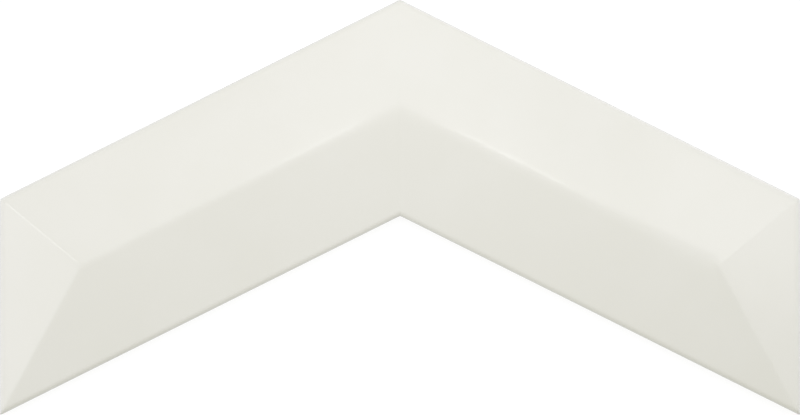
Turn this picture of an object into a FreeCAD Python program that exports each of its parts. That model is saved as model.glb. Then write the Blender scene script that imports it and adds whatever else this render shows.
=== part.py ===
"""Chevron wall tile: one pressed and glazed ceramic piece, in millimetres.

The origin is the middle of the tile's box, on its back face. +X runs across the tile from tip to tip, +Y
points to the apex of the chevron, and +Z rises from the back to the glazed face. Every upright section
along +Y is the same low gable, shifted down the slope of its arm, so one section swept along a bent path makes
both arms and their mitre.
"""

import FreeCAD
import Part
import Sketcher
import math
import os

NODE = "chevron_tile"

# Driving dimensions, in millimetres, with angles in degrees.
SIZES = {
    # Overall width, from one end edge to the other.
    "tile_width": 248.0,
    # Width of each arm, square to its long edges.
    "arm_width": 60.0,
    # Slope of each arm below the horizontal.
    "arm_pitch": 26.5,
    # Thickness at the edges, where the facets would meet the sides.
    "edge_thickness": 6.5,
    # Thickness at the crest of the ridge.
    "ridge_thickness": 12.0,
    # Plan length of the sloping facet at each end.
    "end_run": 24.8,
    # Rounding of the ridge, across the arm.
    "ridge_radius": 11.0,
    # Rounding of the bend between the two arms, in plan.
    "mitre_radius": 3.0,
    # Rounding between the face and the upright sides.
    "arris_radius": 2.0,
    # Rounding of the hips and of the upright corners at the ends.
    "corner_radius": 0.5,
    # Keying grooves pressed into the back, following the arms.
    "groove_pitch": 8.0,
    "groove_width": 4.0,
    "groove_depth": 0.8,
    # Plain margins of the back, along the long edges and at the end edges.
    "groove_side_margin": 7.0,
    "groove_end_margin": 9.0,
}

# Expressions worked out from the driving dimensions.
HALF_WIDTH = "Sizes.tile_width / 2"
END_EDGE = "Sizes.arm_width / cos(Sizes.arm_pitch)"
RISE = "Sizes.tile_width / 2 * tan(Sizes.arm_pitch)"
BOX_DEPTH = f"({RISE} + {END_EDGE})"
RIDGE_CORNER_Y = f"({RISE}) / 2"
SECTION_RADIUS = "Sizes.ridge_radius / cos(Sizes.arm_pitch) ^ 2"
GROOVE_FIELD = "(Sizes.arm_width - 2 * Sizes.groove_side_margin - Sizes.groove_width)"
GROOVE_STEPS = f"floor({GROOVE_FIELD} / Sizes.groove_pitch)"
GROOVE_PITCH_Y = "Sizes.groove_pitch / cos(Sizes.arm_pitch)"
LOWEST_GROOVE_Y = f"({RIDGE_CORNER_Y} - {GROOVE_STEPS} / 2 * {GROOVE_PITCH_Y})"

# The blank and the cutting shapes run past the tile by the thickness of its ridge.
PAST_END_X = "(Sizes.tile_width / 2 + Sizes.ridge_thickness)"
ABOVE_FACE = "2 * Sizes.ridge_thickness"
BELOW_BACK = "Sizes.ridge_thickness"

# The sketcher's numbers for the points of an element and for its own axes.
START, END, CENTRE = 1, 2, 3
HORIZONTAL_AXIS, VERTICAL_AXIS = -1, -2
SKETCH_ORIGIN = (HORIZONTAL_AXIS, START)
UPRIGHT = math.pi / 2
FLAT = 1e-3


def add_sheet(doc):
    """Put the driving dimensions into a sheet, one aliased cell each."""
    sheet = doc.addObject("Spreadsheet::Sheet", "Sizes")
    for row, (alias, value) in enumerate(SIZES.items(), start=1):
        sheet.set(f"A{row}", alias)
        sheet.set(f"B{row}", str(value))
        sheet.setAlias(f"B{row}", alias)
    doc.recompute()


def origin_feature(body, role):
    """Return the body's own origin plane or axis with this role."""
    return next(item for item in body.Origin.OriginFeatures if item.Role == role)


def add_sketch(body, name, role):
    """Add a sketch to the body, lying on one of its origin planes."""
    sketch = body.newObject("Sketcher::SketchObject", name)
    sketch.AttachmentSupport = [(origin_feature(body, role), "")]
    sketch.MapMode = "FlatFace"
    return sketch


def dimension(sketch, name, expression, *constraint):
    """Add a named dimension to the sketch and bind it to an expression."""
    index = sketch.addConstraint(Sketcher.Constraint(*constraint))
    sketch.renameConstraint(index, name)
    sketch.setExpression(f"Constraints.{name}", expression)


def relate(sketch, *constraint):
    """Add a constraint without a value to the sketch."""
    sketch.addConstraint(Sketcher.Constraint(*constraint))


def add_line(sketch, here, there):
    """Add a straight line between two points of the sketch and return its index."""
    return sketch.addGeometry(Part.LineSegment(FreeCAD.Vector(*here, 0), FreeCAD.Vector(*there, 0)))


def add_arc(sketch, centre, radius, first_angle, last_angle):
    """Add an arc that turns anticlockwise to the sketch and return its index."""
    circle = Part.Circle(FreeCAD.Vector(*centre, 0), FreeCAD.Vector(0, 0, 1), radius)
    return sketch.addGeometry(Part.ArcOfCircle(circle, first_angle, last_angle))


def add_guide_point(sketch, x, y):
    """Add a construction point to the sketch and return its index."""
    return sketch.addGeometry(Part.Point(FreeCAD.Vector(x, y, 0)), True)


class Plan:
    """Start positions for the sketches, from the same driving dimensions."""

    def __init__(self, sizes):
        self.pitch = math.radians(sizes["arm_pitch"])
        self.half_width = sizes["tile_width"] / 2
        self.half_end_edge = sizes["arm_width"] / math.cos(self.pitch) / 2
        self.ridge_corner_y = self.half_width * math.tan(self.pitch) / 2
        self.past_end_x = self.half_width + sizes["ridge_thickness"]
        self.drop = sizes["ridge_thickness"] - sizes["edge_thickness"]
        self.section_radius = sizes["ridge_radius"] / math.cos(self.pitch) ** 2
        self.facet_slope = self.tangent_slope()
        self.end_slope = math.atan(self.drop / sizes["end_run"])
        field = sizes["arm_width"] - 2 * sizes["groove_side_margin"] - sizes["groove_width"]
        groove_steps = math.floor(field / sizes["groove_pitch"])
        groove_pitch_y = sizes["groove_pitch"] / math.cos(self.pitch)
        self.lowest_groove_y = self.ridge_corner_y - groove_steps / 2 * groove_pitch_y

    def tangent_slope(self):
        """Angle of the straight facet that leaves the crest's arc and meets the edge."""
        reach = self.half_end_edge
        spread = 2 * self.section_radius - self.drop
        return 2 * math.atan((reach - math.sqrt(reach**2 - self.drop * spread)) / spread)


def arris_points(side, slope):
    """Return the centre of an arris and the point where it leaves its facet.

    The side is upright at this distance from the sketch's upright axis, and the facet falls towards it.
    """
    radius = SIZES["arris_radius"]
    centre_z = SIZES["edge_thickness"] + radius * math.tan(slope) - radius / math.cos(slope)
    centre = (side - radius, centre_z)
    leave = (side - radius + radius * math.sin(slope), centre_z + radius * math.cos(slope))
    return centre, leave


def add_ridge_path(body, plan):
    """Draw the path of the ridge: the two arms' centre lines, bent round an arc."""
    sketch = add_sketch(body, "RidgePath", "XY_Plane")
    radius = SIZES["mitre_radius"]
    bend_x = radius * math.sin(plan.pitch)
    bend_y = plan.ridge_corner_y - bend_x * math.tan(plan.pitch)
    fall = plan.past_end_x * math.tan(plan.pitch)
    low_y = plan.ridge_corner_y - fall
    left = add_line(sketch, (-plan.past_end_x, low_y), (-bend_x, bend_y))
    bend_centre = (0, bend_y - radius * math.cos(plan.pitch))
    bend = add_arc(sketch, bend_centre, radius, UPRIGHT - plan.pitch, UPRIGHT + plan.pitch)
    right = add_line(sketch, (bend_x, bend_y), (plan.past_end_x, low_y))
    corner = add_guide_point(sketch, 0, plan.ridge_corner_y)
    relate(sketch, "Tangent", left, END, bend, END)
    relate(sketch, "Tangent", bend, START, right, START)
    relate(sketch, "Symmetric", left, START, right, END, VERTICAL_AXIS)
    relate(sketch, "PointOnObject", corner, START, VERTICAL_AXIS)
    relate(sketch, "PointOnObject", corner, START, left)
    relate(sketch, "PointOnObject", bend, CENTRE, VERTICAL_AXIS)
    dimension(sketch, "bend", "Sizes.mitre_radius", "Radius", bend, radius)
    dimension(
        sketch, "corner", RIDGE_CORNER_Y, "DistanceY",
        *SKETCH_ORIGIN, corner, START, plan.ridge_corner_y,
    )
    dimension(
        sketch, "span", f"2 * {PAST_END_X}", "DistanceX",
        left, START, right, END, 2 * plan.past_end_x,
    )
    dimension(
        sketch, "fall", f"{PAST_END_X} * tan(Sizes.arm_pitch)", "DistanceY",
        left, START, corner, START, fall,
    )
    return sketch


def add_arm_section(body, plan):
    """Draw the upright section of an arm, at the start of the ridge's path."""
    sketch = add_sketch(body, "ArmSection", "YZ_Plane")
    path_start_y = f"{RIDGE_CORNER_Y} - {PAST_END_X} * tan(Sizes.arm_pitch)"
    sketch.setExpression("AttachmentOffset.Base.x", path_start_y)
    sketch.setExpression("AttachmentOffset.Base.z", f"-{PAST_END_X}")
    side = plan.half_end_edge
    slope = plan.facet_slope
    crest = SIZES["ridge_thickness"]
    edge = SIZES["edge_thickness"]
    arris_radius = SIZES["arris_radius"]
    radius = plan.section_radius
    (arris_y, arris_z), (leave_y, leave_z) = arris_points(side, slope)
    crest_y = radius * math.sin(slope)
    crest_z = crest - radius * (1 - math.cos(slope))
    base = add_line(sketch, (-side, 0), (side, 0))
    right_side = add_line(sketch, (side, 0), (side, arris_z))
    right_arris = add_arc(sketch, (arris_y, arris_z), arris_radius, 0, UPRIGHT - slope)
    right_facet = add_line(sketch, (leave_y, leave_z), (crest_y, crest_z))
    ridge = add_arc(sketch, (0, crest - radius), radius, UPRIGHT - slope, UPRIGHT + slope)
    left_facet = add_line(sketch, (-crest_y, crest_z), (-leave_y, leave_z))
    left_arris = add_arc(sketch, (-arris_y, arris_z), arris_radius, UPRIGHT + slope, math.pi)
    left_side = add_line(sketch, (-side, arris_z), (-side, 0))
    crest_point = add_guide_point(sketch, 0, crest)
    edge_point = add_guide_point(sketch, side, edge)
    relate(sketch, "Coincident", base, END, right_side, START)
    relate(sketch, "Coincident", left_side, END, base, START)
    outline = (right_side, right_arris, right_facet, ridge, left_facet, left_arris, left_side)
    for curve, after in zip(outline, outline[1:]):
        relate(sketch, "Tangent", curve, END, after, START)
    relate(sketch, "Vertical", right_side)
    relate(sketch, "Vertical", left_side)
    relate(sketch, "Symmetric", base, START, base, END, VERTICAL_AXIS)
    relate(sketch, "PointOnObject", base, START, HORIZONTAL_AXIS)
    relate(sketch, "PointOnObject", ridge, CENTRE, VERTICAL_AXIS)
    relate(sketch, "Equal", right_arris, left_arris)
    relate(sketch, "Equal", right_facet, left_facet)
    relate(sketch, "PointOnObject", crest_point, START, VERTICAL_AXIS)
    relate(sketch, "PointOnObject", crest_point, START, ridge)
    relate(sketch, "PointOnObject", edge_point, START, right_facet)
    relate(sketch, "PointOnObject", edge_point, START, right_side)
    dimension(sketch, "base", END_EDGE, "DistanceX", base, START, base, END, 2 * side)
    dimension(sketch, "ridge_radius", SECTION_RADIUS, "Radius", ridge, radius)
    dimension(sketch, "arris_radius", "Sizes.arris_radius", "Radius", right_arris, arris_radius)
    dimension(
        sketch, "crest", "Sizes.ridge_thickness", "DistanceY",
        *SKETCH_ORIGIN, crest_point, START, crest,
    )
    dimension(
        sketch, "edge", "Sizes.edge_thickness", "DistanceY",
        *SKETCH_ORIGIN, edge_point, START, edge,
    )
    return sketch


def sweep_arms(body, plan):
    """Sweep the section along the bent path, without turning it, past both ends of the tile."""
    path = add_ridge_path(body, plan)
    section = add_arm_section(body, plan)
    body.Document.recompute()
    arms = body.newObject("PartDesign::AdditivePipe", "Arms")
    arms.Profile = section
    arms.Spine = (path, [])
    arms.Mode = "Fixed"


def cut_ends(body, plan):
    """Cut the right end with its sloping facet and arris, then mirror the cut to the left end."""
    sketch = add_sketch(body, "EndSection", "XZ_Plane")
    crest = SIZES["ridge_thickness"]
    edge = SIZES["edge_thickness"]
    run = SIZES["end_run"]
    wall_x = plan.half_width
    slope = plan.end_slope
    above = 2 * crest
    below = -crest
    centre, leave = arris_points(wall_x, slope)
    top_x = wall_x - (above - edge) / math.tan(slope)
    wall = add_line(sketch, (wall_x, below), (wall_x, centre[1]))
    arris = add_arc(sketch, centre, SIZES["arris_radius"], 0, UPRIGHT - slope)
    facet = add_line(sketch, leave, (top_x, above))
    top = add_line(sketch, (top_x, above), (plan.past_end_x, above))
    outside = add_line(sketch, (plan.past_end_x, above), (plan.past_end_x, below))
    bottom = add_line(sketch, (plan.past_end_x, below), (wall_x, below))
    edge_point = add_guide_point(sketch, wall_x, edge)
    crest_point = add_guide_point(sketch, wall_x - run, crest)
    relate(sketch, "Tangent", wall, END, arris, START)
    relate(sketch, "Tangent", arris, END, facet, START)
    for line, after in ((facet, top), (top, outside), (outside, bottom), (bottom, wall)):
        relate(sketch, "Coincident", line, END, after, START)
    relate(sketch, "Vertical", wall)
    relate(sketch, "Vertical", outside)
    relate(sketch, "Horizontal", top)
    relate(sketch, "Horizontal", bottom)
    relate(sketch, "PointOnObject", edge_point, START, wall)
    relate(sketch, "PointOnObject", edge_point, START, facet)
    relate(sketch, "PointOnObject", crest_point, START, facet)
    dimension(sketch, "arris_radius", "Sizes.arris_radius", "Radius", arris, SIZES["arris_radius"])
    dimension(sketch, "wall", HALF_WIDTH, "DistanceX", *SKETCH_ORIGIN, edge_point, START, wall_x)
    dimension(
        sketch, "edge", "Sizes.edge_thickness", "DistanceY",
        *SKETCH_ORIGIN, edge_point, START, edge,
    )
    dimension(
        sketch, "run", "Sizes.end_run", "DistanceX",
        crest_point, START, edge_point, START, run,
    )
    dimension(
        sketch, "crest", "Sizes.ridge_thickness", "DistanceY",
        *SKETCH_ORIGIN, crest_point, START, crest,
    )
    dimension(
        sketch, "outside", PAST_END_X, "DistanceX",
        *SKETCH_ORIGIN, outside, START, plan.past_end_x,
    )
    dimension(sketch, "above", ABOVE_FACE, "DistanceY", *SKETCH_ORIGIN, top, START, above)
    dimension(sketch, "below", BELOW_BACK, "DistanceY", bottom, START, *SKETCH_ORIGIN, -below)
    right_end = body.newObject("PartDesign::Pocket", "RightEnd")
    right_end.Profile = sketch
    right_end.SideType = "Symmetric"
    right_end.setExpression("Length", f"2 * {BOX_DEPTH}")
    both_ends = body.newObject("PartDesign::Mirrored", "BothEnds")
    both_ends.Originals = [right_end]
    both_ends.MirrorPlane = (origin_feature(body, "YZ_Plane"), [""])
    body.Tip = both_ends
    return both_ends


def middle_normal(edge, face):
    """Return the face's normal at the middle of one of its edges."""
    middle = edge.valueAt((edge.FirstParameter + edge.LastParameter) / 2)
    return face.normalAt(*face.Surface.parameter(middle))


def is_end_side(normal):
    """Tell whether a normal belongs to an end: its wall, its arris or its facet."""
    return abs(normal.y) < FLAT and abs(normal.x) > FLAT


def soften_corners(body, base):
    """Round the hips and upright corners, where the ends meet the arms."""
    body.Document.recompute()
    shape = base.Shape
    names = []
    for number, edge in enumerate(shape.Edges, start=1):
        normals = [middle_normal(edge, face) for face in shape.ancestorsOfType(edge, Part.Face)]
        from_end = [is_end_side(normal) for normal in normals]
        above_back = all(normal.z > -FLAT for normal in normals)
        if above_back and sum(from_end) == 1:
            names.append(f"Edge{number}")
    corners = body.newObject("PartDesign::Fillet", "Corners")
    corners.Base = (base, names)
    corners.setExpression("Radius", "Sizes.corner_radius")


def add_chevron(sketch, outer_apex, inner_apex, half_width, rise):
    """Draw a symmetrical V band with upright ends and return its outer left and left end lines."""
    points = [
        (0, outer_apex),
        (-half_width, outer_apex - rise),
        (-half_width, inner_apex - rise),
        (0, inner_apex),
        (half_width, inner_apex - rise),
        (half_width, outer_apex - rise),
    ]
    lines = [add_line(sketch, here, there) for here, there in zip(points, points[1:] + points[:1])]
    for line, after in zip(lines, lines[1:] + lines[:1]):
        relate(sketch, "Coincident", line, END, after, START)
    outer_left, left_end, inner_left, inner_right, right_end, outer_right = lines
    relate(sketch, "PointOnObject", outer_left, START, VERTICAL_AXIS)
    relate(sketch, "PointOnObject", inner_right, START, VERTICAL_AXIS)
    relate(sketch, "Symmetric", right_end, END, left_end, START, VERTICAL_AXIS)
    relate(sketch, "Symmetric", right_end, START, left_end, END, VERTICAL_AXIS)
    relate(sketch, "Vertical", left_end)
    relate(sketch, "Parallel", outer_left, inner_left)
    return outer_left, left_end


def press_grooves(body, plan):
    """Press the lowest keying groove into the back, then repeat it across the arms."""
    sketch = add_sketch(body, "GrooveOutline", "XY_Plane")
    half_width = plan.half_width - SIZES["groove_end_margin"]
    rise = half_width * math.tan(plan.pitch)
    height = SIZES["groove_width"] / math.cos(plan.pitch)
    apex = plan.lowest_groove_y + height / 2
    outer_left, left_end = add_chevron(sketch, apex, apex - height, half_width, rise)
    dimension(
        sketch, "reach", f"{HALF_WIDTH} - Sizes.groove_end_margin", "DistanceX",
        left_end, START, *SKETCH_ORIGIN, half_width,
    )
    dimension(
        sketch, "apex", f"{LOWEST_GROOVE_Y} + Sizes.groove_width / 2 / cos(Sizes.arm_pitch)", "DistanceY",
        *SKETCH_ORIGIN, outer_left, START, apex,
    )
    dimension(
        sketch, "rise", f"({HALF_WIDTH} - Sizes.groove_end_margin) * tan(Sizes.arm_pitch)", "DistanceY",
        outer_left, END, outer_left, START, rise,
    )
    dimension(
        sketch, "height", "Sizes.groove_width / cos(Sizes.arm_pitch)", "DistanceY",
        left_end, END, left_end, START, height,
    )
    groove = body.newObject("PartDesign::Pocket", "Groove")
    groove.Profile = sketch
    groove.Reversed = True
    groove.setExpression("Length", "Sizes.groove_depth")
    body.Document.recompute()
    pattern = body.newObject("PartDesign::LinearPattern", "Grooves")
    pattern.Originals = [groove]
    pattern.Direction = (origin_feature(body, "Y_Axis"), [""])
    pattern.Mode = "Spacing"
    pattern.setExpression("Offset", GROOVE_PITCH_Y)
    pattern.setExpression("Occurrences", f"{GROOVE_STEPS} + 1")
    body.Tip = pattern


def add_tile(doc):
    """Build the tile: swept arms, cut ends, softened corners and the keyed back."""
    plan = Plan(SIZES)
    body = doc.addObject("PartDesign::Body", "Tile")
    body.Label = NODE
    sweep_arms(body, plan)
    ends = cut_ends(body, plan)
    soften_corners(body, ends)
    press_grooves(body, plan)
    doc.recompute()
    return body


def check(doc, body):
    """Stop if any object failed to build or the tile is not one sound solid."""
    failed = [item.Name for item in doc.Objects if {"Invalid", "Error"} & set(item.State)]
    if failed:
        raise RuntimeError(f"these objects failed to build: {failed}")
    shape = body.Shape
    if shape.isNull() or not shape.isValid() or len(shape.Solids) != 1:
        raise RuntimeError(f"{body.Label} is not one valid solid")


def main():
    """Build the document, check it and write the tile's solid."""
    doc = FreeCAD.newDocument("ChevronTile")
    add_sheet(doc)
    body = add_tile(doc)
    check(doc, body)
    os.makedirs("parts", exist_ok=True)
    body.Shape.exportStep(f"parts/{body.Label}.step")
    print(f"{body.Label}: volume {body.Shape.Volume:.1f} mm3, box {body.Shape.BoundBox}")


main()
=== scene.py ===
"""Looks of the chevron wall tile: one pressed ceramic piece with an ivory glaze, in metres.

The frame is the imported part's: +X runs from tip to tip, +Y points to the apex, +Z comes out of the glazed
face, and the back lies on the floor at z = 0. The camera looks straight down on the face.
"""

import logging
import math
from dataclasses import dataclass
from enum import Enum, IntEnum
from typing import Iterable, Sequence

import bmesh
import bpy
from mathutils import Matrix, Vector

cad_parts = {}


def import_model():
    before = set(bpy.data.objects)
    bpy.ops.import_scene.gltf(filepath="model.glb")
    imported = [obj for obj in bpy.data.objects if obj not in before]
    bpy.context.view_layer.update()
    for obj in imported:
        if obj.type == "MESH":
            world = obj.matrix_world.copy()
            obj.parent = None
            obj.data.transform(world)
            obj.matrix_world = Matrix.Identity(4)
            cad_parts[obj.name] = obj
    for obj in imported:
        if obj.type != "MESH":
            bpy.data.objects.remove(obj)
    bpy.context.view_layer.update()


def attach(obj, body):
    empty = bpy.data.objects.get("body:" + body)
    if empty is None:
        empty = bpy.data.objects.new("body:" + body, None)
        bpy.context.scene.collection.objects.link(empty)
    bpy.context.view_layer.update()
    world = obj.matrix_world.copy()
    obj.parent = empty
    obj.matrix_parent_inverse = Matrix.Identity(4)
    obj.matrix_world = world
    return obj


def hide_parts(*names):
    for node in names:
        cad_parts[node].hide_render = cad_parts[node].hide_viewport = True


log = logging.getLogger("chevron_tile")

MM = 0.001
# Distance below which a point lies on a plane
TOUCH = 1e-6
# Distance below which a point lies on a line, or two points are one
NEAR = 10 * TOUCH
# Room for picking out the points at the margins of the back
SLACK = 0.2 * MM
# Cosine above which an edge is parallel to a direction
PARALLEL = 0.99999
# Upright share of a face's normal above which the face is level
LEVEL = 0.5
# Blender's number for a bevel with a round section
ROUND_PROFILE = 0.5
Colour = tuple[float, float, float]
Range = tuple[float, float]
WHITE: Colour = (1.0, 1.0, 1.0)
COOL: Colour = (0.875, 0.875, 1.0)
COLD: Colour = (0.80, 0.80, 1.0)


class Zone(IntEnum):
    """The part of the tile's skin that a mesh face belongs to."""

    FACE = 0
    ARRIS = 1
    SIDE = 2
    BACK = 3


class Coat(IntEnum):
    """The finish that a zone carries, as the index of its material."""

    GLAZED = 0
    BARE = 1


class LampRole(Enum):
    """What a lamp is for."""

    KEY = "key lamp"
    LEFT = "left lamp"
    RIGHT = "right lamp"
    LEFT_GLINT = "left glint lamp"
    RIGHT_GLINT = "right glint lamp"
    LEFT_HIP_GLINT = "left hip glint lamp"
    RIGHT_HIP_GLINT = "right hip glint lamp"
    LEFT_BOX = "left soft box"
    RIGHT_BOX = "right soft box"
    UPPER_LEFT_BOX = "upper left soft box"
    UPPER_RIGHT_BOX = "upper right soft box"


class Bench:
    """A node tree being wired, with short ways to add and join nodes.

    A Mix node has sockets of one name for numbers, vectors and colours, so those for colours are found by
    their places.
    """

    MIX_COLOURS = (6, 7)
    MIX_RESULT = 2

    def __init__(self, tree: bpy.types.NodeTree) -> None:
        """Take over a node tree.

        Args:
            tree: the tree that new nodes go into.
        """
        self.tree = tree

    def add(self, kind: str, **settings: object) -> bpy.types.Node:
        """Add a node.

        Args:
            kind: Blender's name of the node type.
            settings: properties of the node, such as operation.

        Returns:
            The new node.
        """
        node = self.tree.nodes.new(kind)
        for name, value in settings.items():
            setattr(node, name, value)
        return node

    def join(self, source: bpy.types.NodeSocket, target: bpy.types.NodeSocket) -> None:
        """Link one socket to another."""
        self.tree.links.new(source, target)

    def noise(
        self, place: bpy.types.NodeSocket, grain: float, detail: float = 2.0, roughness: float = 0.5
    ) -> bpy.types.NodeSocket:
        """Add a noise pattern.

        Args:
            place: coordinates in metres.
            grain: size of the pattern's blotches, in metres.
            detail: number of finer layers on top.
            roughness: strength of the finer layers.

        Returns:
            The socket of its values, about 0.5 on average.
        """
        node = self.add("ShaderNodeTexNoise", noise_dimensions="3D")
        node.inputs["Scale"].default_value = 1 / grain
        node.inputs["Detail"].default_value = detail
        node.inputs["Roughness"].default_value = roughness
        self.join(place, node.inputs["Vector"])
        return node.outputs["Fac"]

    def ramp(
        self, value: bpy.types.NodeSocket, start: float, end: float, low: float = 0.0, high: float = 1.0
    ) -> bpy.types.NodeSocket:
        """Add a smooth step from one value to another.

        Args:
            value: the value that is stepped.
            start: where the step begins.
            end: where the step ends.
            low: result at the beginning.
            high: result at the end.

        Returns:
            The socket of the stepped value.
        """
        node = self.add("ShaderNodeMapRange", interpolation_type="SMOOTHSTEP", clamp=True)
        node.inputs["From Min"].default_value = start
        node.inputs["From Max"].default_value = end
        node.inputs["To Min"].default_value = low
        node.inputs["To Max"].default_value = high
        self.join(value, node.inputs["Value"])
        return node.outputs["Result"]

    def math(
        self, operation: str, first: bpy.types.NodeSocket, second: bpy.types.NodeSocket | float
    ) -> bpy.types.NodeSocket:
        """Add a sum on two values.

        Args:
            operation: Blender's name of the sum.
            first: the first value.
            second: the second value, a socket or a number.

        Returns:
            The socket of the result.
        """
        node = self.add("ShaderNodeMath", operation=operation)
        self.join(first, node.inputs[0])
        if isinstance(second, bpy.types.NodeSocket):
            self.join(second, node.inputs[1])
        else:
            node.inputs[1].default_value = second
        return node.outputs["Value"]

    def blend(
        self,
        share: bpy.types.NodeSocket,
        first: bpy.types.NodeSocket | Colour,
        second: bpy.types.NodeSocket | Colour,
    ) -> bpy.types.NodeSocket:
        """Add a mix of two colours.

        Args:
            share: how much of the second colour shows.
            first: a socket or a plain colour.
            second: a socket or a plain colour.

        Returns:
            The socket of the mixed colour.
        """
        node = self.add("ShaderNodeMix", data_type="RGBA", blend_type="MIX")
        self.join(share, node.inputs["Factor"])
        for colour, number in zip((first, second), self.MIX_COLOURS):
            socket = node.inputs[number]
            if isinstance(colour, bpy.types.NodeSocket):
                self.join(colour, socket)
            else:
                socket.default_value = (*colour, 1.0)
        return node.outputs[self.MIX_RESULT]


@dataclass(frozen=True)
class FiredBody:
    """The bare fired clay, where no glaze covers it.

    Attributes:
        pale: colour of most of the clay.
        dark: colour of its specks and darkest clouds.
        grain: size of the grit.
        speck_range: grit values between which a speck begins to show and shows fully.
        speck_share: how far a speck goes towards the dark colour.
        clouds: size of the clouds.
        cloud_range: cloud values between which the clouds darken.
        cloud_share: how far the clouds go towards the dark colour.
        roughness: roughness of the clay.
        relief: height of the grit.
    """

    pale: Colour = (0.70, 0.65, 0.56)
    dark: Colour = (0.60, 0.54, 0.45)
    grain: float = 0.45 * MM
    speck_range: Range = (0.60, 0.72)
    speck_share: float = 0.55
    clouds: float = 9 * MM
    cloud_range: Range = (0.3, 0.7)
    cloud_share: float = 0.45
    roughness: float = 0.88
    relief: float = 0.05 * MM

    def group(self) -> bpy.types.NodeTree:
        """Make the grain of the clay, which the bare back and the ragged foot of the glaze share.

        Returns:
            A node group that gives the clay's colour and the height of its grain.
        """
        name = "fired clay grain"
        if name in bpy.data.node_groups:
            return bpy.data.node_groups[name]
        tree = bpy.data.node_groups.new(name, "ShaderNodeTree")
        tree.interface.new_socket("Place", in_out="INPUT", socket_type="NodeSocketVector")
        tree.interface.new_socket("Pale", in_out="INPUT", socket_type="NodeSocketColor")
        tree.interface.new_socket("Dark", in_out="INPUT", socket_type="NodeSocketColor")
        tree.interface.new_socket("Colour", in_out="OUTPUT", socket_type="NodeSocketColor")
        tree.interface.new_socket("Height", in_out="OUTPUT", socket_type="NodeSocketFloat")
        bench = Bench(tree)
        inside = bench.add("NodeGroupInput")
        outside = bench.add("NodeGroupOutput")
        grit = bench.noise(inside.outputs["Place"], self.grain, detail=3.0, roughness=0.65)
        cloud = bench.noise(inside.outputs["Place"], self.clouds, detail=3.0)
        speck = bench.math("MULTIPLY", bench.ramp(grit, *self.speck_range), self.speck_share)
        shade = bench.math("ADD", bench.ramp(cloud, *self.cloud_range, high=self.cloud_share), speck)
        colour = bench.blend(shade, inside.outputs["Pale"], inside.outputs["Dark"])
        bench.join(colour, outside.inputs["Colour"])
        bench.join(grit, outside.inputs["Height"])
        return tree

    def place_group(self, bench: Bench, place: bpy.types.NodeSocket) -> bpy.types.Node:
        """Put the clay's grain into a material.

        Args:
            bench: the material's tree.
            place: coordinates in metres.

        Returns:
            The group's node.
        """
        node = bench.add("ShaderNodeGroup", node_tree=self.group())
        bench.join(place, node.inputs["Place"])
        node.inputs["Pale"].default_value = (*self.pale, 1.0)
        node.inputs["Dark"].default_value = (*self.dark, 1.0)
        return node

    def material(self) -> bpy.types.Material:
        """Make the finish of the bare back.

        Returns:
            The material.
        """
        material = bpy.data.materials.new("bare fired body")
        material.use_nodes = True
        bench = Bench(material.node_tree)
        shader = material.node_tree.nodes["Principled BSDF"]
        shader.inputs["Roughness"].default_value = self.roughness
        place = bench.add("ShaderNodeTexCoord").outputs["Object"]
        clay = self.place_group(bench, place)
        bump = bench.add("ShaderNodeBump")
        bump.inputs["Distance"].default_value = self.relief
        bench.join(clay.outputs["Height"], bump.inputs["Height"])
        bench.join(clay.outputs["Colour"], shader.inputs["Base Color"])
        bench.join(bump.outputs["Normal"], shader.inputs["Normal"])
        return material


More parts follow.
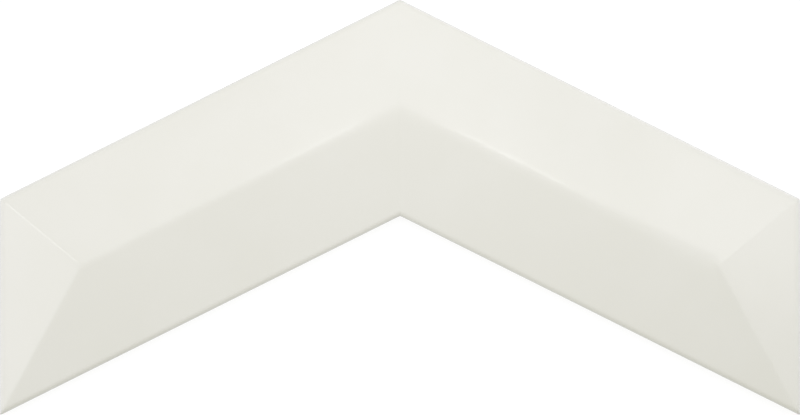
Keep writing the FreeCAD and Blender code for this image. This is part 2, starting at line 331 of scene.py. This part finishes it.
@dataclass(frozen=True)
class IvoryGlaze:
    """The satin ivory glaze of the face, which thins and carries painted shade over the arris, and stops
    raggedly on the sides.

    Attributes:
        arris_height: height at which the thinning and the painted shade begin.
        colour: colour of most of the glaze.
        cloud_colour: colour of its clouds.
        thin_shaded_colour: colour at and below the arris, where the glaze is thin, darkened further as
            painted shade.
        roughness: roughness of its glossiest patches.
        rough_patch: roughness of its dullest patches.
        sheen_patch: size of those patches.
        sheen_range: noise values between which the gloss changes.
        clouds: size of the clouds.
        cloud_range: noise values between which a cloud begins and is full.
        ripple: length of the skin's ripples.
        ripple_height: height of the ripples.
        foot_height: height at which the glaze stops on the sides.
        foot_wander: how far the foot wanders up and down.
        foot_lobe: length of the foot's bends.
        foot_softness: half the height over which the foot fades out.
        thin_shade_reach: height over which the glaze thins and the painted shade deepens.
    """

    arris_height: float
    colour: Colour = (0.785, 0.775, 0.715)
    cloud_colour: Colour = (0.777, 0.767, 0.704)
    # Darker and greyer than the glaze: partly thin glaze, partly painted shade of the arris and sides.
    thin_shaded_colour: Colour = (0.750, 0.750, 0.724)
    roughness: float = 0.134
    rough_patch: float = 0.156
    sheen_patch: float = 35 * MM
    sheen_range: Range = (0.3, 0.7)
    clouds: float = 22 * MM
    cloud_range: Range = (0.35, 0.65)
    ripple: float = 3.2 * MM
    ripple_height: float = 0.006 * MM
    foot_height: float = 2.1 * MM
    foot_wander: float = 1.3 * MM
    foot_lobe: float = 4 * MM
    foot_softness: float = 0.12 * MM
    thin_shade_reach: float = 1.5 * MM

    def material(self, body: FiredBody) -> bpy.types.Material:
        """Make the finish.

        Args:
            body: the clay that shows below the glaze's foot.

        Returns:
            The material.
        """
        material = bpy.data.materials.new("ivory glaze")
        material.use_nodes = True
        bench = Bench(material.node_tree)
        shader = material.node_tree.nodes["Principled BSDF"]
        place = bench.add("ShaderNodeTexCoord").outputs["Object"]
        height = bench.add("ShaderNodeSeparateXYZ")
        bench.join(place, height.inputs["Vector"])

        cloud = bench.noise(place, self.clouds)
        glaze = bench.blend(bench.ramp(cloud, *self.cloud_range), self.colour, self.cloud_colour)
        # Painted shade: the glaze darkens from the arris down, partly from thin glaze, partly as shade.
        thin_and_shade = bench.ramp(height.outputs["Z"], self.arris_height, self.arris_height - self.thin_shade_reach)
        glaze = bench.blend(thin_and_shade, glaze, self.thin_shaded_colour)

        wander = bench.math("MULTIPLY", bench.noise(place, self.foot_lobe, detail=4.0), self.foot_wander)
        above_foot = bench.math("SUBTRACT", height.outputs["Z"], wander)
        foot = self.foot_height - self.foot_wander / 2
        bare = bench.ramp(above_foot, foot + self.foot_softness, foot - self.foot_softness)
        clay = body.place_group(bench, place)
        bench.join(bench.blend(bare, glaze, clay.outputs["Colour"]), shader.inputs["Base Color"])

        patches = bench.noise(place, self.sheen_patch)
        sheen = bench.ramp(patches, *self.sheen_range, self.roughness, self.rough_patch)
        dryness = bench.math("MULTIPLY", bare, body.roughness - self.rough_patch)
        bench.join(bench.math("ADD", sheen, dryness), shader.inputs["Roughness"])

        skin = bench.add("ShaderNodeBump")
        skin.inputs["Distance"].default_value = self.ripple_height
        bench.join(bench.noise(place, self.ripple, detail=1.0), skin.inputs["Height"])
        grit = bench.add("ShaderNodeBump")
        grit.inputs["Distance"].default_value = body.relief
        bench.join(bench.math("MULTIPLY", clay.outputs["Height"], bare), grit.inputs["Height"])
        bench.join(skin.outputs["Normal"], grit.inputs["Normal"])
        bench.join(grit.outputs["Normal"], shader.inputs["Normal"])
        return material


@dataclass
class ChevronTile:
    """The tile: two mitred arms with a hipped face, an eased arris and a keyed back.

    Attributes:
        width: length from end to end.
        arm_width: width of an arm, square to its ridge.
        arm_pitch: slope of the arms in plan.
        edge_thickness: height at which face and sides would meet if the arris were sharp.
        ridge_thickness: height of the finished ridge.
        ridge_peak: height of the ridge before it is softened.
        end_run: length in plan over which an end facet climbs to the finished ridge's height.
        arris_radius: radius between the face and the sides.
        arris_segments: number of faces across the arris.
        foot_bevel: width of the bevel between the sides and the back.
        foot_segments: number of faces across that bevel.
        groove_count: number of keying grooves on each arm.
        groove_pitch: distance from groove to groove.
        groove_width: width of a groove between its lips.
        groove_depth: depth of a groove.
        groove_side_margin: plain margin of the back along the sides.
        groove_end_margin: plain margin of the back at the ends.
        columns: number of cuts along an arm.
        rows: number of cuts across a facet.
        ridge_passes: softening passes of the ridge at the mitre.
        hip_passes: softening passes of the hips.
        crisp_reach: distance to the right of the mitre from which the ridge grows softer.
        left_run: length over which the ridge's passes fall e-fold, to the left of the mitre.
        right_run: length over which they grow e-fold, beyond the crisp reach.
        mitre_passes: softening passes at each step towards the mitre.
        mitre_outer: reach of the first of these steps, in whole millimetres.
        mitre_inner: reach of the last step, in whole millimetres.
        pass_strength: how far a pass moves a point towards its neighbours' middle.
        corner_reach: reach of the softening at the upright corners.
        crease: angle from which an edge of the back stays crisp.
    """

    width: float = 248 * MM
    arm_width: float = 60 * MM
    arm_pitch: float = math.radians(26.5)
    edge_thickness: float = 6.5 * MM
    ridge_thickness: float = 12 * MM
    ridge_peak: float = 12.2 * MM
    end_run: float = 24.8 * MM
    arris_radius: float = 2.0 * MM
    arris_segments: int = 8
    foot_bevel: float = 0.25 * MM
    foot_segments: int = 2
    groove_count: int = 6
    groove_pitch: float = 8 * MM
    groove_width: float = 4 * MM
    groove_depth: float = 0.8 * MM
    groove_side_margin: float = 7 * MM
    groove_end_margin: float = 9 * MM
    columns: int = 200
    rows: int = 52
    ridge_passes: int = 14
    hip_passes: int = 6
    crisp_reach: float = 52 * MM
    left_run: float = 70 * MM
    right_run: float = 26 * MM
    mitre_passes: int = 4
    mitre_outer: int = 14
    mitre_inner: int = 4
    pass_strength: float = 0.5
    corner_reach: float = 1.0 * MM
    crease: float = math.radians(15)

    def __post_init__(self) -> None:
        """Work out the lengths that the others set."""
        self.half = self.width / 2
        self.rise = self.half * math.tan(self.arm_pitch)
        self.end_edge = self.arm_width / math.cos(self.arm_pitch)
        self.along = Vector((math.cos(self.arm_pitch), math.sin(self.arm_pitch), 0))
        self.across = Vector((-math.sin(self.arm_pitch), math.cos(self.arm_pitch), 0))
        self.ridge_corner = Vector((0, self.rise / 2, 0))
        grade = (self.ridge_thickness - self.edge_thickness) / self.end_run
        run = (self.ridge_peak - self.edge_thickness) / grade
        self.hip_point = self.ridge_corner + self.along * ((self.half - run) / -self.along.x)
        self.upper_corner = Vector((-self.half, (self.end_edge - self.rise) / 2, 0))
        self.tip = Vector((-self.half, (-self.end_edge - self.rise) / 2, 0))

    def offset(self, point: Vector) -> float:
        """Give a point's distance from the left arm's centre line, in plan, positive towards the apex."""
        return (point - self.ridge_corner).dot(self.across)

    def build(self) -> bpy.types.Object:
        """Model the tile.

        Returns:
            The tile's object, without its finish.
        """
        form = self._press_block()
        self._raise_roof(form)
        self._ease_rims(form)
        self._mark_grooves(form)
        self._divide(form)
        self._sink_grooves(form)
        self._mirror(form)
        self._soften(form)
        self._sharpen_foot(form)
        mesh = bpy.data.meshes.new("glazed_tile")
        form.to_mesh(mesh)
        form.free()
        tile = bpy.data.objects.new("glazed_tile", mesh)
        bpy.context.scene.collection.objects.link(tile)
        return tile

    def dress(self, tile: bpy.types.Object, glaze: IvoryGlaze, body: FiredBody) -> None:
        """Give the tile its finishes and set it in the frame.

        Args:
            tile: the tile's object.
            glaze: the finish of the face and sides.
            body: the finish of the back.
        """
        tile.data.materials.append(glaze.material(body))
        tile.data.materials.append(body.material())
        for face in tile.data.polygons:
            face.material_index = Coat.BARE if face.material_index == Zone.BACK else Coat.GLAZED
        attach(tile, "root")
        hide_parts("chevron_tile")

    def _press_block(self) -> bmesh.types.BMesh:
        """Make the left arm as a flat block that is open at the mitre.

        Returns:
            The block, its faces marked with their zones.
        """
        block = bmesh.new()
        plan = Matrix(
            (
                (self.half, 0, 0, -self.half / 2),
                (self.rise, self.end_edge, 0, 0),
                (0, 0, 1, 0),
                (0, 0, 0, 1),
            )
        )
        half_unit = 0.5
        bmesh.ops.create_grid(block, x_segments=1, y_segments=1, size=half_unit, matrix=plan)
        lifted = bmesh.ops.extrude_face_region(block, geom=block.faces[:])["geom"]
        top = [part for part in lifted if isinstance(part, bmesh.types.BMVert)]
        bmesh.ops.translate(block, verts=top, vec=Vector((0, 0, self.edge_thickness)))
        mitre = [face for face in block.faces if all(abs(vert.co.x) < TOUCH for vert in face.verts)]
        bmesh.ops.delete(block, geom=mitre, context="FACES_ONLY")
        bmesh.ops.recalc_face_normals(block, faces=block.faces[:])
        for face in block.faces:
            face.material_index = Zone.SIDE
            if face.normal.z > LEVEL:
                face.material_index = Zone.FACE
            if face.normal.z < -LEVEL:
                face.material_index = Zone.BACK
        return block

    def _raise_roof(self, arm: bmesh.types.BMesh) -> None:
        """Cut the ridge and the hips into the top of the block and lift the ridge.

        Args:
            arm: the left arm as a flat block.
        """
        cut(arm, zone_faces(arm, Zone.FACE), self.ridge_corner, self.across)
        for corner in (self.upper_corner, self.tip):
            side = math.copysign(1, self.offset(corner))
            part = [
                face
                for face in zone_faces(arm, Zone.FACE)
                if self.offset(face.calc_center_median()) * side > TOUCH
            ]
            hip = (self.hip_point - corner).cross(Vector((0, 0, 1)))
            cut(arm, part, corner, hip.normalized())
        spare = [
            edge
            for edge in arm.edges
            if all(abs(self.offset(vert.co)) < NEAR for vert in edge.verts)
            and min(vert.co.z for vert in edge.verts) > TOUCH
            and min(vert.co.x for vert in edge.verts) < self.hip_point.x - NEAR
        ]
        bmesh.ops.dissolve_edges(arm, edges=spare)
        ridge = [
            vert
            for vert in arm.verts
            if abs(self.offset(vert.co)) < NEAR and vert.co.z > self.edge_thickness / 2
        ]
        rim_point = [vert for vert in ridge if vert.co.x < self.hip_point.x - NEAR]
        crest = [vert for vert in ridge if vert not in rim_point]
        bmesh.ops.dissolve_verts(arm, verts=rim_point)
        bmesh.ops.translate(arm, verts=crest, vec=Vector((0, 0, self.ridge_peak - self.edge_thickness)))
        bmesh.ops.recalc_face_normals(arm, faces=arm.faces[:])

    def _ease_rims(self, arm: bmesh.types.BMesh) -> None:
        """Round the arris between face and sides, and break the foot between sides and back.

        Args:
            arm: the left arm with its facets.
        """
        turn = math.pi / 2 - math.atan2(self.ridge_peak - self.edge_thickness, self.arm_width / 2)
        setback = self.arris_radius * math.tan(turn / 2)
        for zone, amount, segments, made in (
            (Zone.FACE, setback, self.arris_segments, Zone.ARRIS),
            (Zone.BACK, self.foot_bevel, self.foot_segments, Zone.SIDE),
        ):
            rim = [
                edge
                for edge in arm.edges
                if {face.material_index for face in edge.link_faces} == {int(zone), int(Zone.SIDE)}
            ]
            eased = bmesh.ops.bevel(
                arm,
                geom=rim,
                offset=amount,
                offset_type="OFFSET",
                segments=segments,
                profile=ROUND_PROFILE,
                affect="EDGES",
                material=-1,
                clamp_overlap=False,
            )
            for face in eased["faces"]:
                face.material_index = made

    def _groove_lines(self) -> list[float]:
        """List the offsets of the grooves' middles from the arm's centre line."""
        first = -(self.groove_count - 1) / 2
        return [(first + number) * self.groove_pitch for number in range(self.groove_count)]

    def _mark_grooves(self, arm: bmesh.types.BMesh) -> None:
        """Draw the keying grooves on the back: a plain margin, then each groove's lips and middle line.

        Args:
            arm: the left arm with a plain back.
        """
        back = zone_faces(arm, Zone.BACK)
        margin = self.groove_side_margin - self.foot_bevel
        bmesh.ops.inset_region(arm, faces=back, thickness=margin, use_even_offset=True, use_boundary=False)
        field = [face for face in back if face.is_valid]
        end = min(vert.co.x for face in field for vert in face.verts)
        end_verts = {vert for face in field for vert in face.verts if vert.co.x < end + SLACK}
        shift = -self.half + self.groove_end_margin - end
        bmesh.ops.translate(arm, verts=list(end_verts), vec=self.along * (shift / self.along.x))
        for middle in self._groove_lines():
            for line in (middle - self.groove_width / 2, middle, middle + self.groove_width / 2):
                inner = [face for face in zone_faces(arm, Zone.BACK) if self._in_field(face)]
                cut(arm, inner, self.ridge_corner + self.across * line, self.across)

    def _in_field(self, face: bmesh.types.BMFace) -> bool:
        """Tell whether a face of the back lies inside its plain margins.

        Args:
            face: the face.

        Returns:
            True inside the margins, where the grooves are.
        """
        reach = self.arm_width / 2 - self.groove_side_margin + SLACK
        inside = all(abs(self.offset(vert.co)) < reach for vert in face.verts)
        return inside and face.calc_center_median().x > -self.half + self.groove_end_margin

    def _divide(self, arm: bmesh.types.BMesh) -> None:
        """Divide the arm into fine columns along its length and fine rows across its facets.

        Args:
            arm: the left arm.
        """
        lengthwise = [edge for edge in arm.edges if runs_along(edge, self.along)]
        bmesh.ops.subdivide_edges(arm, edges=lengthwise, cuts=self.columns, use_grid_fill=True)
        crosswise = [edge for edge in arm.edges if self._on_facet(edge) or self._on_end(edge)]
        bmesh.ops.subdivide_edges(arm, edges=crosswise, cuts=self.rows, use_grid_fill=True)

    def _on_facet(self, edge: bmesh.types.BMEdge) -> bool:
        """Tell whether an edge crosses or bounds a facet, other than lengthwise."""
        on_face = any(face.material_index == Zone.FACE for face in edge.link_faces)
        return on_face and not runs_along(edge, self.along)

    def _on_end(self, edge: bmesh.types.BMEdge) -> bool:
        """Tell whether an edge runs along the left end, on the arris or the side."""
        outermost = max(vert.co.x for vert in edge.verts) < -self.half + 2 * self.arris_radius
        return outermost and runs_along(edge, Vector((0, 1, 0)))

    def _sink_grooves(self, arm: bmesh.types.BMesh) -> None:
        """Press the middle line of each groove into the back.

        Args:
            arm: the left arm, its grooves drawn.
        """
        end = -self.half + self.groove_end_margin
        sunk = [
            vert
            for vert in arm.verts
            if abs(vert.co.z) < TOUCH
            and vert.co.x > end + NEAR
            and any(abs(self.offset(vert.co) - line) < NEAR for line in self._groove_lines())
        ]
        bmesh.ops.translate(arm, verts=sunk, vec=Vector((0, 0, self.groove_depth)))

    def _mirror(self, arm: bmesh.types.BMesh) -> None:
        """Add the right arm and close the mitre.

        Args:
            arm: the left arm, which becomes the whole tile.
        """
        whole = arm.verts[:] + arm.edges[:] + arm.faces[:]
        bmesh.ops.mirror(arm, geom=whole, matrix=Matrix.Identity(4), merge_dist=NEAR, axis="X")
        bmesh.ops.recalc_face_normals(arm, faces=arm.faces[:])

    def _soften(self, tile: bmesh.types.BMesh) -> None:
        """Soften the ridge, the hips and the mitre as the glaze does, then the upright corners.

        Args:
            tile: the whole tile.
        """
        roof = [
            vert
            for vert in tile.verts
            if all(face.material_index == Zone.FACE for face in vert.link_faces)
        ]
        passes = {vert: self._glaze_passes(vert.co.x) for vert in roof}
        for number in range(max(passes.values())):
            soft = [vert for vert in roof if passes[vert] > number]
            bmesh.ops.smooth_vert(tile, verts=soft, factor=self.pass_strength, use_axis_z=True)
        for reach in range(self.mitre_outer, self.mitre_inner - 1, -1):
            near = [vert for vert in roof if abs(vert.co.x) < reach * MM]
            for _ in range(self.mitre_passes):
                bmesh.ops.smooth_vert(tile, verts=near, factor=self.pass_strength, use_axis_z=True)
        corners = [self.upper_corner, self.tip]
        corners += [Vector((-corner.x, corner.y, 0)) for corner in corners]
        bend = [
            vert
            for vert in tile.verts
            if abs(vert.co.x) < self.corner_reach
            or any((vert.co.xy - corner.xy).length < self.corner_reach for corner in corners)
        ]
        bmesh.ops.smooth_vert(tile, verts=bend, factor=self.pass_strength, use_axis_x=True, use_axis_y=True)

    def _glaze_passes(self, x: float) -> int:
        """Give the number of softening passes at a place: few on the hips, most at the ridge's right end.

        Args:
            x: the place from end to end, zero at the mitre.

        Returns:
            The number of passes.
        """
        if abs(x) > abs(self.hip_point.x):
            return self.hip_passes
        growth = min(x, 0) / self.left_run + max(x - self.crisp_reach, 0) / self.right_run
        return round(self.ridge_passes * math.exp(growth))

    def _sharpen_foot(self, tile: bmesh.types.BMesh) -> None:
        """Shade the skin smoothly and keep the creases of the back crisp.

        Args:
            tile: the whole tile.
        """
        for face in tile.faces:
            face.smooth = True
        for edge in tile.edges:
            zones = {face.material_index for face in edge.link_faces}
            edge.smooth = not (Zone.BACK in zones and edge.calc_face_angle(0) > self.crease)


@dataclass(frozen=True)
class SoftLamp:
    """A flat soft lamp that faces the middle of the tile.

    Attributes:
        role: what the lamp is for.
        place: where its middle hangs.
        width: its size from side to side.
        depth: its size the other way.
        power: its power in watts.
        colour: the tint of its light.
        mirrored: whether the glaze mirrors it.
    """

    role: LampRole
    place: tuple[float, float, float]
    width: float
    depth: float
    power: float
    colour: Colour = WHITE
    mirrored: bool = False

    def hang(self) -> None:
        """Hang the lamp, unseen by the camera, and by the glaze too unless it is to be mirrored there."""
        lamp = bpy.data.lights.new(self.role.value, "AREA")
        lamp.shape = "RECTANGLE"
        lamp.size = self.width
        lamp.size_y = self.depth
        lamp.energy = self.power
        lamp.color = self.colour
        holder = bpy.data.objects.new(self.role.value, lamp)
        holder.location = self.place
        holder.rotation_euler = (-Vector(self.place)).to_track_quat("-Z", "Y").to_euler()
        holder.visible_camera = False
        holder.visible_glossy = self.mirrored
        bpy.context.scene.collection.objects.link(holder)


@dataclass
class Studio:
    """The plain white set: floor, soft lamps, sky and camera.

    Attributes:
        lens: focal length of the camera, in millimetres.
        sensor: width of the camera's sensor, in millimetres.
        floor_size: length of the square floor's sides.
        floor_bounce: colour of the floor to the light that it throws back.
        floor_tint: colour of the part of the floor's look that takes shadows.
        floor_glow: light that is added to that look, to make it white.
        sky_light: light of the even sky.
        lamps: the lamps and soft boxes.
    """

    lens: float = 300.0
    sensor: float = 36.0
    floor_size: float = 8.0
    floor_bounce: Colour = (0.90, 0.90, 0.90)
    floor_tint: Colour = (0.15, 0.15, 0.15)
    floor_glow: float = 0.90
    sky_light: Colour = (0.558, 0.560, 0.497)
    lamps: tuple[SoftLamp, ...] = (
        SoftLamp(LampRole.KEY, (0.0, 0.178, 0.381), 0.25, 0.25, 0.868, COOL),
        SoftLamp(LampRole.LEFT, (-0.333, -0.059, 0.091), 0.21, 0.18, 0.212, COLD),
        SoftLamp(LampRole.RIGHT, (0.333, 0.059, 0.091), 0.21, 0.18, 0.178, COLD),
        SoftLamp(LampRole.LEFT_BOX, (-0.239, -0.035, 0.25), 0.100, 0.050, 0.0127, mirrored=True),
        SoftLamp(LampRole.RIGHT_BOX, (0.239, -0.006, 0.25), 0.052, 0.050, 0.0072, mirrored=True),
        SoftLamp(LampRole.UPPER_LEFT_BOX, (-0.20, 0.18, 0.5), 0.090, 0.090, 0.0119, mirrored=True),
        SoftLamp(LampRole.UPPER_RIGHT_BOX, (0.22, 0.14, 0.5), 0.130, 0.090, 0.0400, mirrored=True),
        SoftLamp(LampRole.LEFT_GLINT, (-0.104, 0.174, 0.5), 0.034, 0.025, 0.0105, mirrored=True),
        SoftLamp(LampRole.RIGHT_GLINT, (0.117, 0.166, 0.5), 0.050, 0.025, 0.0165, mirrored=True),
        SoftLamp(LampRole.LEFT_HIP_GLINT, (-0.295, 0.077, 0.5), 0.045, 0.045, 0.0300, mirrored=True),
        SoftLamp(LampRole.RIGHT_HIP_GLINT, (0.280, 0.094, 0.5), 0.050, 0.050, 0.0200, mirrored=True),
    )

    def build(self, rim_height: float, frame_width: float) -> None:
        """Set up everything round the tile.

        Args:
            rim_height: height of the tile's outline above the floor.
            frame_width: width that the picture shows at that height.
        """
        self._floor()
        self._sky()
        for lamp in self.lamps:
            lamp.hang()
        self._camera(rim_height, frame_width)

    def _floor(self) -> None:
        """Lay a pale floor that the camera sees as white, with the tile's shadow on it."""
        mesh = bpy.data.meshes.new("floor")
        plane = bmesh.new()
        bmesh.ops.create_grid(plane, x_segments=1, y_segments=1, size=self.floor_size / 2)
        plane.to_mesh(mesh)
        plane.free()
        floor = bpy.data.objects.new("floor", mesh)
        bpy.context.scene.collection.objects.link(floor)
        material = bpy.data.materials.new("white floor")
        material.use_nodes = True
        bench = Bench(material.node_tree)
        material.node_tree.nodes.remove(material.node_tree.nodes["Principled BSDF"])
        plain = bench.add("ShaderNodeBsdfDiffuse")
        plain.inputs["Color"].default_value = (*self.floor_bounce, 1.0)
        shade = bench.add("ShaderNodeBsdfDiffuse")
        shade.inputs["Color"].default_value = (*self.floor_tint, 1.0)
        glow = bench.add("ShaderNodeEmission")
        glow.inputs["Strength"].default_value = self.floor_glow
        seen = bench.add("ShaderNodeAddShader")
        bench.join(shade.outputs["BSDF"], seen.inputs[0])
        bench.join(glow.outputs["Emission"], seen.inputs[1])
        choice = bench.add("ShaderNodeMixShader")
        bench.join(self._seen_rays(bench), choice.inputs["Fac"])
        bench.join(plain.outputs["BSDF"], choice.inputs[1])
        bench.join(seen.outputs["Shader"], choice.inputs[2])
        bench.join(choice.outputs["Shader"], material.node_tree.nodes["Material Output"].inputs["Surface"])
        mesh.materials.append(material)

    def _seen_rays(self, bench: Bench) -> bpy.types.NodeSocket:
        """Give 1 for rays that show a background: from the camera, a reflection or a clear body.

        Args:
            bench: the tree of the floor's or the sky's look.

        Returns:
            The socket of the answer, 0 for other rays.
        """
        rays = bench.add("ShaderNodeLightPath")
        mirrored = bench.math("MAXIMUM", rays.outputs["Is Camera Ray"], rays.outputs["Is Glossy Ray"])
        return bench.math("MAXIMUM", mirrored, rays.outputs["Is Transmission Ray"])

    def _sky(self) -> None:
        """Fill the set with even light, white where it is seen."""
        world = bpy.data.worlds.new("even sky")
        bpy.context.scene.world = world
        world.use_nodes = True
        bench = Bench(world.node_tree)
        light = world.node_tree.nodes["Background"]
        light.inputs["Color"].default_value = (*self.sky_light, 1.0)
        seen = bench.add("ShaderNodeBackground")
        seen.inputs["Color"].default_value = (*WHITE, 1.0)
        choice = bench.add("ShaderNodeMixShader")
        bench.join(self._seen_rays(bench), choice.inputs["Fac"])
        bench.join(light.outputs["Background"], choice.inputs[1])
        bench.join(seen.outputs["Background"], choice.inputs[2])
        bench.join(choice.outputs["Shader"], world.node_tree.nodes["World Output"].inputs["Surface"])

    def _camera(self, rim_height: float, frame_width: float) -> None:
        """Hang the camera over the tile, looking straight down.

        Args:
            rim_height: height at which the picture's width is set.
            frame_width: the picture's width there.
        """
        camera = bpy.data.cameras.new("camera")
        camera.lens = self.lens
        camera.sensor_width = self.sensor
        holder = bpy.data.objects.new("camera", camera)
        holder.location = (0, 0, rim_height + frame_width * self.lens / self.sensor)
        bpy.context.scene.collection.objects.link(holder)
        bpy.context.scene.camera = holder


def zone_faces(mesh: bmesh.types.BMesh, zone: Zone) -> list[bmesh.types.BMFace]:
    """List the faces of one zone."""
    return [face for face in mesh.faces if face.material_index == zone]


def runs_along(edge: bmesh.types.BMEdge, direction: Vector) -> bool:
    """Tell whether an edge is parallel to a direction."""
    run = edge.verts[1].co - edge.verts[0].co
    return abs(run.dot(direction)) > PARALLEL * run.length


def cut(mesh: bmesh.types.BMesh, faces: Iterable[bmesh.types.BMFace], point: Vector, normal: Vector) -> None:
    """Cut some faces along a plane and leave the rest whole.

    Args:
        mesh: the mesh that holds the faces.
        faces: the faces to cut.
        point: a point on the plane.
        normal: the direction square to the plane.
    """
    parts = dict.fromkeys(faces)
    for face in list(parts):
        parts.update(dict.fromkeys(face.edges))
        parts.update(dict.fromkeys(face.verts))
    bmesh.ops.bisect_plane(mesh, geom=list(parts), dist=TOUCH, plane_co=point, plane_no=normal)


def main() -> None:
    """Build the tile and its set."""
    logging.basicConfig(level=logging.INFO, format="%(name)s: %(message)s")
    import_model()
    bpy.context.scene.view_settings.view_transform = "Standard"
    chevron = ChevronTile()
    tile = chevron.build()
    chevron.dress(tile, IvoryGlaze(chevron.edge_thickness), FiredBody())
    log.info("glazed tile: %d faces", len(tile.data.polygons))
    Studio().build(chevron.edge_thickness - chevron.arris_radius, chevron.width)
    log.info("floor, sky, lamps and camera are set")


if __name__ == "__main__":
    main()
